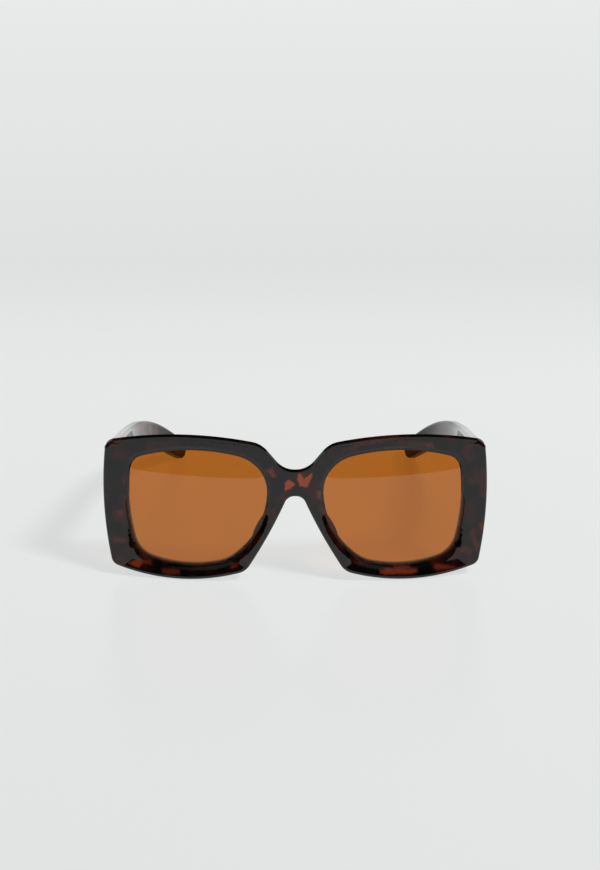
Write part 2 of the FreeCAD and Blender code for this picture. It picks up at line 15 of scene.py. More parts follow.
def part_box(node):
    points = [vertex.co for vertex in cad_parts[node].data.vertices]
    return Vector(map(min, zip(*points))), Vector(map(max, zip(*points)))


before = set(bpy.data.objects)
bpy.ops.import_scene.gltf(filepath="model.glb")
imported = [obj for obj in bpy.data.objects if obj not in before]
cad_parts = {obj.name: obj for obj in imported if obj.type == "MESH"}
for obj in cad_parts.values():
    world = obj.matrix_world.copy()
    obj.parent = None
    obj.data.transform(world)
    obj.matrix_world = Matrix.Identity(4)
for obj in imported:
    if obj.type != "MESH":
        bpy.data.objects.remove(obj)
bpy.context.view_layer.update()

bl_info = {
    "name": "Tortoiseshell sunglasses",
    "version": (1, 0, 0),
    "blender": (4, 5, 0),
    "location": "View3D > Sidebar > Sunglasses",
    "description": "Finishes for a pair of sunglasses and a pale table to show them on",
    "category": "Object",
}

FRONT_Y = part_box("front_frame")[0].y
MM = 0.001

# The face of the front bends back about an upright axis and leans back from the foot of the rims
WRAP_RADIUS = 350 * MM
LEAN = math.radians(4.6)
FACE_START = FRONT_Y - 1.04 * MM

# The picture that the camera takes, and the pixel and height at which it sees the middle of the front
IMAGE_WIDTH, IMAGE_HEIGHT = 600, 870
FRONT_PIXEL = (294.87, 514.6)
AIM_HEIGHT = 28 * MM
NEAREST_VIEW = 0.01

# The foot of each rim is an arc, and a hollow above it runs to each side of its own middle
FOOT_MIDDLE, FOOT_RADIUS = 44.5 * MM, 85 * MM
HOLLOW_MIDDLE, HOLLOW_REACH, HOLLOW_HEIGHT = 42.6 * MM, 24.4 * MM, 6 * MM
HOLLOW_TOP, HOLLOW_CORNER = 1.4 * HOLLOW_HEIGHT, 2 * MM

# Above these heights lies the top edge: level over the bridge, climbing beside it, level over the rims
BRIDGE_SIDE, BRIDGE_TOP, BRIDGE_CLIMB, RIM_TOP = 8 * MM, 41 * MM, 1.4, 54 * MM
TOP_BLEND = -1.2 * MM, 0.8 * MM

# How the round of the top edge is lifted with its depth, so that it looks as flat as the face
CRISP_LIFT, CRISP_BEND = 1.6, 0.2 / MM

# Heights between which the slope at the foot of the openings gives way to the slope of the top edge
SLOPE_BLEND = 28 * MM, 34 * MM

# Sizes of the shell's random pattern, and the part of each noise's values that the pattern uses
SWIRL_SIZE, SWIRL_REACH = 7 * MM, 5 * MM
SPREAD_NONE, SPREAD_GAIN, PATCH_FADE = 0.75, 0.4, 0.08
CLUSTER_SIZE, CLUSTER_SPAN, CLUSTER_STRENGTH = 21 * MM, (0.35, 0.7), (0.15, 0.9)
CLOUD_SIZE, CLOUD_SPAN = 7 * MM, (0.45, 0.7)
HAZE_SIZE, HAZE_SPAN, HAZE_ROUGHNESS = 11 * MM, (0.3, 0.75), (0.7, 1.5)
WAVE_SIZE, WAVE_HEIGHT = 6 * MM, 0.0045 * MM
SHELL_INDEX = 1.49

# How soft and how ragged the edge of a drawn patch is, and how much more so on the faintest patch
RAGGED_SIZE = 1.5 * MM
SOFT, SOFTER = 0.4 * MM, 0.6 * MM
RAGGED, MORE_RAGGED = 0.8 * MM, 0.7 * MM

# From these depths behind the face the scattered patches grow to their full strength
FULL_PATCHES = 2.5 * MM, 6 * MM

# Stretches along the temples over which the varnish ends and the tip begins, and how much fainter the
# patches are at the tip, so that it is darker
VARNISH_END = -20 * MM, 25 * MM
TIP_START = 25 * MM, 50 * MM
TIP_DARKENING = 0.65

# The part of a noise's values that a plain variation of colour or roughness uses, and their middle
NOISE_SPAN, NOISE_MIDDLE = (0.3, 0.7), 0.5

# The uneven tint of the lenses, and their smears
TINT_SIZE = 30 * MM
SMEAR_SIZE, SMEAR_SPAN = 14 * MM, (0.55, 0.8)

# The lines and the wear of the metal: how much each changes its shade, and how rough and high the lines are
LINE_SHADE, LINE_ROUGHNESS, LINE_HEIGHT, LINE_STRENGTH = 0.6, (0.75, 1.35), 0.01 * MM, 0.3
WEAR_SHADE, WEAR_SIZE, WEAR_SPAN = 0.4, 3 * MM, (0.35, 0.7)

# The paint of the table: its mottle, its polish where it is lit, and how blurred it mirrors
MOTTLE_SIZE, MOTTLE_DEPTH = 0.2, 0.015
PAINT_ROUGHNESS, PAINT_GLOSS, MIRROR_ROUGHNESS = 0.6, 0.2, 0.3

# Soft lights in the room, to the right and the left of the camera: their places and how they fade out
SIDE_AZIMUTH, SIDE_ELEVATION = math.radians(70), math.radians(50)
SIDE_FADE = math.cos(math.radians(36)), math.cos(math.radians(15))

WHITE, BLACK = (1.0, 1.0, 1.0), (0.0, 0.0, 0.0)

# A coloured patch in the front: how strong its colour is, and its corners in millimetres across
# and up the front
Patch = namedtuple("Patch", "strength corners")

FRONT_PATCHES = (
    # Bridge
    Patch(1.0, ((-4.0, 36.9), (-3.8, 40.3), (-2.3, 41.3), (0.1, 39.5), (-1.7, 37.8))),
    Patch(1.0, ((1.1, 43.6), (1.9, 43.6), (3.4, 41.6), (3.9, 38.3), (1.7, 38.7), (0.9, 41.1))),
    Patch(0.95, ((3.3, 41.6), (5.3, 43.2), (6.3, 43.9), (6.4, 42.3), (4.6, 38.5), (3.3, 38.3))),
    Patch(0.4, ((-11.8, 44.7), (-8.7, 45.8), (-7.3, 42.3), (-8.7, 42.3), (-10.4, 43.7))),
    Patch(0.3, ((7.9, 36.9), (9.5, 36.7), (9.8, 33.4), (8.4, 33.6))),
    Patch(0.1, ((-11.2, 28.7), (-6.9, 30.5), (-7.7, 27.3), (-10.4, 26.4))),
    # Rim on the left
    Patch(0.28, ((-68.4, 26.2), (-66.4, 27.0), (-65.8, 25.3), (-67.5, 24.2), (-68.7, 24.3))),
    Patch(0.1, ((-70.4, 26.4), (-65.2, 27.3), (-65.7, 23.3), (-68.4, 22.2), (-70.3, 24.2))),
    Patch(0.2, ((-70.9, 15.1), (-69.3, 16.1), (-65.1, 15.4), (-65.3, 14.0), (-70.2, 13.6))),
    Patch(0.12, ((-69.1, 8.6), (-66.8, 8.0), (-66.1, 6.4), (-68.4, 6.3))),
    Patch(0.3, ((-70.6, 52.7), (-66.7, 54.3), (-66.5, 53.8), (-70.2, 52.0))),
    Patch(0.1, ((-66.4, 39.6), (-64.8, 40.1), (-64.7, 36.9), (-65.9, 37.1))),
    # Rim on the right
    Patch(0.1, ((65.6, 40.2), (67.8, 39.4), (68.3, 37.0), (65.8, 37.0))),
    Patch(0.2, ((70.6, 21.1), (72.0, 21.7), (72.3, 18.8), (71.1, 18.6))),
    Patch(0.16, ((67.4, 18.3), (69.1, 19.0), (70.0, 13.7), (70.7, 10.8), (68.9, 12.1))),
    Patch(0.12, ((63.0, 11.9), (65.7, 12.4), (68.5, 10.6), (67.4, 8.6), (63.4, 10.2))),
    Patch(0.14, ((69.8, 14.1), (71.0, 13.2), (70.3, 10.0), (69.5, 10.1))),
    Patch(0.12, ((39.6, 55.2), (45.3, 55.1), (51.8, 54.0), (51.8, 52.2), (49.1, 52.7), (40.3, 54.0))),
    Patch(0.28, ((48.7, 54.2), (51.8, 54.2), (52.2, 52.4), (49.9, 52.7))),
    Patch(0.25, ((21.8, 54.8), (29.7, 56.2), (39.6, 56.7), (39.6, 56.1), (30.1, 55.2), (22.5, 53.8))),
    # Hollows under the openings
    Patch(0.6, ((-64.1, 5.7), (-62.5, 7.0), (-61.2, 7.3), (-58.4, 6.6), (-60.5, 4.2), (-62.6, 4.9))),
    Patch(0.25, ((-58.7, 7.3), (-55.6, 7.4), (-55.5, 5.9), (-59.0, 5.4))),
    Patch(0.24, ((-51.2, 4.3), (-47.5, 4.4), (-44.5, 3.8), (-44.8, 2.6), (-48.8, 2.2), (-51.2, 3.0))),
    Patch(0.25, ((-24.5, 7.4), (-21.6, 8.0), (-22.2, 6.6), (-24.1, 5.3), (-24.8, 6.0))),
    Patch(0.45, ((32.6, 4.6), (35.0, 4.9), (46.7, 4.3), (46.8, 3.3), (44.7, 2.7), (35.0, 2.8), (32.6, 3.5))),
    Patch(0.25, ((37.7, 5.8), (44.0, 5.6), (44.0, 4.4), (38.3, 4.5))),
    Patch(0.32, ((53.7, 6.0), (56.3, 5.8), (61.8, 4.4), (59.8, 3.7), (54.7, 3.5), (53.4, 4.6))),
)


class Value:
    """A node's output that takes part in Python sums, each of which adds a Math node."""

    def __init__(self, graph, socket):
        self.graph = graph
        self.socket = socket

    def math(self, operation, *others):
        return self.graph.math(operation, self, *others)

    def __add__(self, other):
        return self.math("ADD", other)

    __radd__ = __add__

    def __sub__(self, other):
        return self.math("SUBTRACT", other)

    def __rsub__(self, other):
        return self.graph.math("SUBTRACT", other, self)

    def __mul__(self, other):
        return self.math("MULTIPLY", other)

    __rmul__ = __mul__

    def __truediv__(self, other):
        return self.math("DIVIDE", other)

    def __rtruediv__(self, other):
        return self.graph.math("DIVIDE", other, self)

    def __abs__(self):
        return self.math("ABSOLUTE")


class Graph:
    """The node tree of a material or a world, built up one node at a time."""

    def __init__(self, owner):
        owner.use_nodes = True
        self.owner = owner
        self.tree = owner.node_tree
        self.tree.nodes.clear()

    def node(self, kind, settings=None, inputs=None, output=0):
        """Add a node with its settings and the values or links of its sockets."""
        node = self.tree.nodes.new(kind)
        for key, setting in (settings or {}).items():
            setattr(node, key, setting)
        for key, given in (inputs or {}).items():
            socket = node.inputs[key]
            if isinstance(given, Value):
                self.tree.links.new(given.socket, socket)
            elif socket.type == "RGBA" and len(given) == 3:
                socket.default_value = (*given, 1.0)
            else:
                socket.default_value = given
        return Value(self, node.outputs[output]) if node.outputs else None

    def math(self, operation, *values):
        return self.node("ShaderNodeMath", {"operation": operation}, dict(enumerate(values)))

    def vector(self, operation, *values, output=0):
        return self.node("ShaderNodeVectorMath", {"operation": operation}, dict(enumerate(values)), output)

    def dot(self, first, second):
        return self.vector("DOT_PRODUCT", first, second, output="Value")

    def largest(self, values):
        return functools.reduce(lambda most, value: most.math("MAXIMUM", value), values)

    def mix(self, factor, first, second):
        """A colour between two colours."""
        return self.node("ShaderNodeMix", {"data_type": "RGBA"}, {0: factor, 6: first, 7: second}, 2)

    def axes(self, place):
        return [self.node("ShaderNodeSeparateXYZ", None, {"Vector": place}, axis) for axis in "XYZ"]

    def place(self):
        """Where a point lies in the piece, which keeps it while the piece moves."""
        return self.node("ShaderNodeTexCoord", output="Object")

    def noise(self, place, size, detail=2.0, output="Fac"):
        """Soft random values whose features are about a given length across."""
        inputs = {"Vector": place, "Scale": 1 / size, "Detail": detail}
        return self.node("ShaderNodeTexNoise", None, inputs, output)

    def ramp(self, value, low, high, to_low=0.0, to_high=1.0):
        """A smooth step from one value to another while the input goes from low to high."""
        settings = {"interpolation_type": "SMOOTHSTEP"}
        limits = {"Value": value, "From Min": low, "From Max": high, "To Min": to_low, "To Max": to_high}
        return self.node("ShaderNodeMapRange", settings, limits)

    def bump(self, height, distance=1.0, strength=1.0):
        inputs = {"Height": height, "Distance": distance, "Strength": strength}
        return self.node("ShaderNodeBump", None, inputs, "Normal")

    def ray(self, kind):
        """One on rays of a kind, such as those from the camera, and zero on the rest."""
        return self.node("ShaderNodeLightPath", output=f"Is {kind} Ray")

    def principled(self, inputs):
        return self.node("ShaderNodeBsdfPrincipled", None, inputs)

    def mix_shader(self, factor, first, second):
        return self.node("ShaderNodeMixShader", None, {0: factor, 1: first, 2: second})

    def background(self, colour, strength):
        return self.node("ShaderNodeBackground", None, {"Color": colour, "Strength": strength})

    def finish(self, surface):
        """Link the surface to the output and give back the material or world."""
        kind = "World" if isinstance(self.owner, bpy.types.World) else "Material"
        self.node(f"ShaderNodeOutput{kind}", None, {"Surface": surface})
        return self.owner


class ShellSettings(bpy.types.PropertyGroup):
    """Colours, pattern and relief of the tortoiseshell."""

    dark: bpy.props.FloatVectorProperty(
        name="Dark", description="Colour of the shell between its patches",
        default=(0.0022, 0.0018, 0.0018), subtype="COLOR", min=0.0, max=1.0,
    )
    patch: bpy.props.FloatVectorProperty(
        name="Patch", description="Colour of a full patch",
        default=(0.37, 0.055, 0.018), subtype="COLOR", min=0.0, max=1.0,
    )
    patch_size: bpy.props.FloatProperty(
        name="Patch size", description="About how wide the scattered patches are",
        default=9 * MM, unit="LENGTH", subtype="DISTANCE",
    )
    face_share: bpy.props.FloatProperty(
        name="Share on the face", description="How strong scattered patches are on the face of the front",
        default=0.06, subtype="FACTOR", min=0.0, max=1.0,
    )
    face_cloud: bpy.props.FloatProperty(
        name="Cloud on the face", description="How strong the faint clouds of colour are on the front",
        default=0.075, subtype="FACTOR", min=0.0, max=1.0,
    )
    front_spread: bpy.props.FloatProperty(
        name="Spread on the front", description="How much of the front the scattered patches cover",
        default=0.36, subtype="FACTOR", min=0.0, max=1.0,
    )
    temple_spread: bpy.props.FloatProperty(
        name="Spread on the temples", description="How much of the temples the scattered patches cover",
        default=0.62, subtype="FACTOR", min=0.0, max=1.0,
    )
    temple_coat: bpy.props.FloatProperty(
        name="Temple coat", description="How much clear varnish lies on the temples near their hinges",
        default=0.8, subtype="FACTOR", min=0.0, max=1.0,
    )
    tip_gloss: bpy.props.FloatProperty(
        name="Tip gloss", description="How much the worn tips of the temples mirror",
        default=0.12, subtype="FACTOR", min=0.0, max=1.0,
    )
    hollow_margin: bpy.props.FloatProperty(
        name="Hollow margin", description="Width of the flat strip between a hollow and the foot of its rim",
        default=1.5 * MM, unit="LENGTH", subtype="DISTANCE",
    )
    hollow_slope: bpy.props.FloatProperty(
        name="Hollow slope", description="How steeply the hollow under each opening slopes back",
        default=math.radians(11), unit="ROTATION", subtype="ANGLE",
    )
    crisp_depth: bpy.props.FloatProperty(
        name="Crisp depth", description="How far behind the face the top edge stays as flat as the face",
        default=0.75 * MM, unit="LENGTH", subtype="DISTANCE",
    )
    edge_start: bpy.props.FloatProperty(
        name="Edge start", description="How far behind the face the slopes of the edges begin",
        default=1.1 * MM, unit="LENGTH", subtype="DISTANCE",
    )
    edge_slope: bpy.props.FloatProperty(
        name="Edge slope", description="How steeply the top edge of the front rises to the back",
        default=math.radians(20), unit="ROTATION", subtype="ANGLE",
    )
    opening_slope: bpy.props.FloatProperty(
        name="Opening slope", description="How steeply the foot of each opening falls away to its lens",
        default=math.radians(30), unit="ROTATION", subtype="ANGLE",
    )
    roughness: bpy.props.FloatProperty(
        name="Roughness", description="How dull the polish is",
        default=0.05, subtype="FACTOR", min=0.0, max=1.0,
    )


class LensSettings(bpy.types.PropertyGroup):
    """Tint of the lenses."""

    tint: bpy.props.FloatVectorProperty(
        name="Tint", description="Share of each colour that passes through a lens",
        default=(0.54, 0.165, 0.022), subtype="COLOR", min=0.0, max=1.0,
    )
    unevenness: bpy.props.FloatProperty(
        name="Unevenness", description="How much deeper the tint is in its deepest places",
        default=0.03, subtype="FACTOR", min=0.0, max=1.0,
    )
    smear: bpy.props.FloatProperty(
        name="Smear", description="How dull the faint smears on a lens are",
        default=0.012, subtype="FACTOR", min=0.0, max=1.0,
    )
    index: bpy.props.FloatProperty(
        name="Index", description="Index of refraction of the lens", default=1.5, min=1.0, max=2.0,
    )


class MetalSettings(bpy.types.PropertyGroup):
    """Finish of the hinges, the screws and the core wires."""

    colour: bpy.props.FloatVectorProperty(
        name="Colour", description="Colour of the metal",
        default=(0.62, 0.6, 0.57), subtype="COLOR", min=0.0, max=1.0,
    )
    dullness: bpy.props.FloatProperty(
        name="Dullness", description="How much darker the metal is in its darkest places",
        default=0.28, subtype="FACTOR", min=0.0, max=1.0,
    )
    roughness: bpy.props.FloatProperty(
        name="Roughness", description="How rough the metal is",
        default=0.28, subtype="FACTOR", min=0.0, max=1.0,
    )


class StageSettings(bpy.types.PropertyGroup):
    """Table, light and camera."""

    elevation: bpy.props.FloatProperty(
        name="View elevation", description="How steeply the camera looks down at the front",
        default=math.radians(22), unit="ROTATION", subtype="ANGLE",
    )
    distance: bpy.props.FloatProperty(
        name="View distance", description="From the camera to the middle of the front",
        default=0.75, unit="LENGTH", subtype="DISTANCE",
    )
    focal_pixels: bpy.props.FloatProperty(
        name="Focal length", description="Focal length of the camera in pixels of the picture",
        default=1975.8, subtype="PIXEL",
    )
    floor: bpy.props.FloatVectorProperty(
        name="Floor", description="Colour of the table",
        default=(0.812, 0.83, 0.826), subtype="COLOR", min=0.0, max=1.0,
    )
    floor_glow: bpy.props.FloatProperty(
        name="Floor glow", description="How much of the table is seen in its own colour, without shadows",
        default=0.78, subtype="FACTOR", min=0.0, max=1.0,
    )
    floor_gloss: bpy.props.FloatProperty(
        name="Floor gloss", description="How much the table mirrors, blurred",
        default=0.3, subtype="FACTOR", min=0.0, max=1.0,
    )
    backdrop: bpy.props.FloatVectorProperty(
        name="Backdrop", description="Colour of the table far behind the glasses",
        default=(0.63, 0.645, 0.637), subtype="COLOR", min=0.0, max=1.0,
    )
    fade_start: bpy.props.FloatProperty(
        name="Fade start",
        description="From the front of the glasses back to where the backdrop colour begins",
        default=0.2, unit="LENGTH", subtype="DISTANCE",
    )
    fade_end: bpy.props.FloatProperty(
        name="Fade end",
        description="From the front of the glasses back to where the backdrop colour is full",
        default=0.5, unit="LENGTH", subtype="DISTANCE",
    )
    table_edge: bpy.props.FloatProperty(
        name="Table edge", description="From the front of the glasses forwards to the edge of the table",
        default=0.49, unit="LENGTH", subtype="DISTANCE",
    )
    table_back: bpy.props.FloatProperty(
        name="Table back", description="How far the table runs back behind the glasses before it turns up",
        default=2.1, unit="LENGTH", subtype="DISTANCE",
    )
    table_rise: bpy.props.FloatProperty(
        name="Table rise", description="How high the table turns up at its back",
        default=1.2, unit="LENGTH", subtype="DISTANCE",
    )
    table_side: bpy.props.FloatProperty(
        name="Table side", description="How far the table runs to each side",
        default=3.0, unit="LENGTH", subtype="DISTANCE",
    )
    key_power: bpy.props.FloatProperty(
        name="Key light", description="Power of the lamp on the right", default=44.0, unit="POWER",
    )
    key_size: bpy.props.FloatProperty(
        name="Key size", description="Width of the lamp on the right",
        default=0.45, unit="LENGTH", subtype="DISTANCE",
    )
    key_distance: bpy.props.FloatProperty(
        name="Key distance", description="From the glasses to the lamp on the right",
        default=2.4, unit="LENGTH", subtype="DISTANCE",
    )
    key_azimuth: bpy.props.FloatProperty(
        name="Key azimuth", description="How far to the right of the camera the lamp stands",
        default=math.radians(54), unit="ROTATION", subtype="ANGLE",
    )
    key_elevation: bpy.props.FloatProperty(
        name="Key elevation", description="How steeply the lamp shines down",
        default=math.radians(50), unit="ROTATION", subtype="ANGLE",
    )
    right_light: bpy.props.FloatProperty(
        name="Right light", description="Brightness of the lit part of the room on the right",
        default=0.25, min=0.0,
    )
    left_light: bpy.props.FloatProperty(
        name="Left light", description="Brightness of the lit part of the room on the left",
        default=0.2, min=0.0,
    )
    horizon: bpy.props.FloatVectorProperty(
        name="Horizon", description="Colour in which the camera sees the room beyond the table",
        default=(0.77, 0.785, 0.78), subtype="COLOR", min=0.0, max=1.0,
    )
    dim_light: bpy.props.FloatProperty(
        name="Dim light", description="Brightness of the rest of the room", default=0.01, min=0.0,
    )


def clothe(names, material):
    """Give named pieces of the frame one material."""
    for name in names:
        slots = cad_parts[name].data.materials
        slots.clear()
        slots.append(material)


def both(name):
    return [f"{name}_left", f"{name}_right"]


def darker(colour, share):
    return tuple(part * (1 - share) for part in colour)


def outside_patch(graph, place, corners):
    """How far a place lies outside a patch with these corners, less than zero inside it."""
    middle = sum(corners, Vector((0.0, 0.0))) / len(corners)
    edges = []
    for start, end in zip(corners, corners[1:] + corners[:1]):
        out = (end - start).orthogonal().normalized()
        if out.dot(start - middle) < 0:
            out.negate()
        edges.append(graph.dot(place, (out.x, 0.0, out.y)) - out.dot(start))
    return graph.largest(edges)


def drawn_patches(graph, place):
    """How strong the drawn patches are at a place: the fainter a patch, the more ragged its edge."""
    rough = graph.noise(place, RAGGED_SIZE, detail=3.0) - NOISE_MIDDLE
    masks = []
    for patch in FRONT_PATCHES:
        outside = outside_patch(graph, place, [Vector(corner) * MM for corner in patch.corners])
        faint = 1 - patch.strength
        soft = SOFT + SOFTER * faint
        ragged = outside + rough * (RAGGED + MORE_RAGGED * faint)
        masks.append(graph.ramp(ragged, soft, -soft, 0.0, patch.strength))
    return graph.largest(masks)


def scattered_patches(graph, place, swirled, settings, spread):
    """How strong the random patches are at a place, with stronger and weaker clusters of them."""
    edge = SPREAD_NONE - SPREAD_GAIN * spread
    noise = graph.noise(swirled, settings.patch_size, detail=1.5)
    patches = graph.ramp(noise, edge, edge + PATCH_FADE)
    return patches * graph.ramp(graph.noise(place, CLUSTER_SIZE), *CLUSTER_SPAN, *CLUSTER_STRENGTH)


def swirl(graph, place):
    """The place moved at random, so that a pattern drawn there swirls."""
    noise = graph.noise(place, SWIRL_SIZE, detail=1.0, output="Color")
    shift = graph.vector("SUBTRACT", noise, (NOISE_MIDDLE, NOISE_MIDDLE, NOISE_MIDDLE))
    return graph.vector("MULTIPLY_ADD", shift, (SWIRL_REACH, SWIRL_REACH, SWIRL_REACH), place)


def face_depth(graph, place):
    """How deep a place lies behind the bent face of the front."""
    across, back, up = graph.axes(place)
    return back - FACE_START - across * across / (2 * WRAP_RADIUS) - up * math.tan(LEAN)


def hollow_depth(graph, place, settings):
    """How far up the slope of the hollow under an opening a place lies, from its foot or its ends."""
    across, _, up = graph.axes(place)
    aside = abs(across)
    arc = aside - FOOT_MIDDLE
    above = up - arc * arc / (2 * FOOT_RADIUS) - settings.hollow_margin
    room = HOLLOW_REACH - abs(aside - HOLLOW_MIDDLE)
    low = above.math("SMOOTH_MIN", room, HOLLOW_CORNER).math("MINIMUM", HOLLOW_HEIGHT)
    return low.math("MINIMUM", HOLLOW_TOP - above).math("MAXIMUM", 0.0)


def front_relief(graph, place, settings):
    """Height of the front: hollows under the openings, a crisp top edge and slopes behind the edges."""
    across, _, up = graph.axes(place)
    depth = face_depth(graph, place)
    near = depth.math("MINIMUM", settings.crisp_depth)
    climb = (abs(across) - BRIDGE_SIDE).math("MAXIMUM", 0.0) * BRIDGE_CLIMB
    top = graph.ramp(up - (climb + BRIDGE_TOP).math("MINIMUM", RIM_TOP), *TOP_BLEND)
    crisp = (near * CRISP_LIFT + near * near * CRISP_BEND) * top
    behind = (depth - settings.edge_start).math("MAXIMUM", 0.0)
    slopes = -math.tan(settings.opening_slope), math.tan(settings.edge_slope)
    rise = behind * graph.ramp(up, *SLOPE_BLEND, *slopes)
    return crisp + rise - hollow_depth(graph, place, settings) * math.tan(settings.hollow_slope)


def polish(graph, place, settings, mask):
    """Sockets of polished shell that is near black and has coloured patches where the mask is strong."""
    dull, duller = [settings.roughness * share for share in HAZE_ROUGHNESS]
    return {
        "Base Color": graph.mix(mask, tuple(settings.dark), tuple(settings.patch)),
        "Roughness": graph.ramp(graph.noise(place, HAZE_SIZE, detail=3.0), *HAZE_SPAN, dull, duller),
        "IOR": SHELL_INDEX,
    }


def waves(graph, place):
    """Height of the faint waves that polishing leaves."""
    return graph.noise(place, WAVE_SIZE, detail=1.0) * WAVE_HEIGHT


def front_shell(settings):
    """Shell of the front: drawn patches and faint clouds on its face, scattered patches behind it."""
    graph = Graph(bpy.data.materials.new("front_tortoise"))
    place = graph.place()
    swirled = swirl(graph, place)
    behind = graph.ramp(face_depth(graph, place), *FULL_PATCHES, settings.face_share, 1.0)
    scattered = scattered_patches(graph, place, swirled, settings, settings.front_spread) * behind
    cloud = graph.ramp(graph.noise(swirled, CLOUD_SIZE), *CLOUD_SPAN, 0.0, settings.face_cloud)
    mask = graph.largest((scattered, cloud, drawn_patches(graph, place)))
    normal = graph.bump(waves(graph, place) + front_relief(graph, place, settings))
    return graph.finish(graph.principled({**polish(graph, place, settings, mask), "Normal": normal}))


def temple_shell(settings):
    """Shell of the temples: varnished near the hinges, darker and less glossy towards the tips."""
    graph = Graph(bpy.data.materials.new("temple_tortoise"))
    place = graph.place()
    along = graph.axes(place)[1]
    tip = graph.ramp(along, *TIP_START)
    scattered = scattered_patches(graph, place, swirl(graph, place), settings, settings.temple_spread)
    shell = polish(graph, place, settings, scattered * (1 - TIP_DARKENING * tip))
    shell["Normal"] = graph.bump(waves(graph, place))
    coat = graph.ramp(along, *VARNISH_END, settings.temple_coat, 0.0)
    varnished = graph.principled({**shell, "Coat Weight": coat})
    # Towards the tips the shell mirrors less and its patches are fainter, so the tips look darker
    dimmer = graph.principled({**shell, "Specular IOR Level": settings.tip_gloss})
    return graph.finish(graph.mix_shader(tip, varnished, dimmer))


def pad_shell(settings):
    """Shell of the nose pads, with scattered patches."""
    graph = Graph(bpy.data.materials.new("pad_tortoise"))
    place = graph.place()
    mask = scattered_patches(graph, place, swirl(graph, place), settings, settings.front_spread)
    normal = graph.bump(waves(graph, place))
    return graph.finish(graph.principled({**polish(graph, place, settings, mask), "Normal": normal}))


def lens_resin(settings):
    """Clear tinted resin that also tints the light that passes through it to the table."""
    graph = Graph(bpy.data.materials.new("lens_brown"))
    place = graph.place()
    tint = tuple(settings.tint)
    uneven = graph.ramp(graph.noise(place, TINT_SIZE, detail=1.0), *NOISE_SPAN)
    smears = graph.noise(place, SMEAR_SIZE, detail=3.0)
    body = graph.principled({
        "Base Color": graph.mix(uneven, darker(tint, settings.unevenness), tint),
        "Roughness": graph.ramp(smears, *SMEAR_SPAN, 0.0, settings.smear),
        "IOR": settings.index, "Transmission Weight": 1.0,
    })
    grey = sum(tint) / len(tint)
    shadow_colour = tuple(math.sqrt((share + grey) / 2) for share in tint)
    shadow = graph.node("ShaderNodeBsdfTransparent", None, {"Color": shadow_colour})
    return graph.finish(graph.mix_shader(graph.ray("Shadow"), body, shadow))


def brushed_metal(name, settings, stretch, grain):
    """Metal with fine lines: the grain is stretched along some axes."""
    graph = Graph(bpy.data.materials.new(name))
    place = graph.place()
    lines = graph.noise(graph.vector("MULTIPLY", place, stretch), grain, detail=4.0)
    wear = graph.noise(place, WEAR_SIZE)
    shade = graph.ramp(lines, *NOISE_SPAN, 0.0, LINE_SHADE) + graph.ramp(wear, *WEAR_SPAN, 0.0, WEAR_SHADE)
    colour = tuple(settings.colour)
    smooth, rough = [settings.roughness * share for share in LINE_ROUGHNESS]
    return graph.finish(graph.principled({
        "Base Color": graph.mix(shade, darker(colour, settings.dullness), colour),
        "Roughness": graph.ramp(lines, *NOISE_SPAN, smooth, rough),
        "Normal": graph.bump(lines, LINE_HEIGHT, LINE_STRENGTH),
        "Metallic": 1.0,
    }))


class SUNGLASSES_OT_dress_front(bpy.types.Operator):
    """Finish the front in polished tortoiseshell"""

    bl_idname = "sunglasses.dress_front"
    bl_label = "Dress the front"

    def execute(self, context):
        clothe(["front_frame"], front_shell(context.scene.sunglasses_shell))
        return {"FINISHED"}


class SUNGLASSES_OT_dress_temples(bpy.types.Operator):
    """Finish the temples in polished tortoiseshell"""

    bl_idname = "sunglasses.dress_temples"
    bl_label = "Dress the temples"

    def execute(self, context):
        clothe(both("temple"), temple_shell(context.scene.sunglasses_shell))
        return {"FINISHED"}


class SUNGLASSES_OT_dress_nose_pads(bpy.types.Operator):
    """Finish the nose pads in polished tortoiseshell"""

    bl_idname = "sunglasses.dress_nose_pads"
    bl_label = "Dress the nose pads"

    def execute(self, context):
        clothe(both("nose_pad"), pad_shell(context.scene.sunglasses_shell))
        return {"FINISHED"}


class SUNGLASSES_OT_dress_lenses(bpy.types.Operator):
    """Finish the lenses in brown resin"""

    bl_idname = "sunglasses.dress_lenses"
    bl_label = "Dress the lenses"

    def execute(self, context):
        clothe(both("lens"), lens_resin(context.scene.sunglasses_lens))
        return {"FINISHED"}


class SUNGLASSES_OT_dress_hinges(bpy.types.Operator):
    """Finish the hinge leaves, the screws and the core wires in steel"""

    bl_idname = "sunglasses.dress_hinges"
    bl_label = "Dress the hinges"

    def execute(self, context):
        settings = context.scene.sunglasses_metal
        leaf = brushed_metal("leaf_steel", settings, stretch=(1.0, 1.0, 6.0), grain=0.35 * MM)
        screw = brushed_metal("screw_steel", settings, stretch=(1.0, 1.0, 9.0), grain=0.3 * MM)
        wire = brushed_metal("wire_steel", settings, stretch=(5.0, 0.4, 5.0), grain=0.4 * MM)
        clothe(both("front_hinge_leaf") + both("temple_hinge_leaf"), leaf)
        clothe(both("hinge_screw"), screw)
        clothe(both("temple_core_wire"), wire)
        return {"FINISHED"}


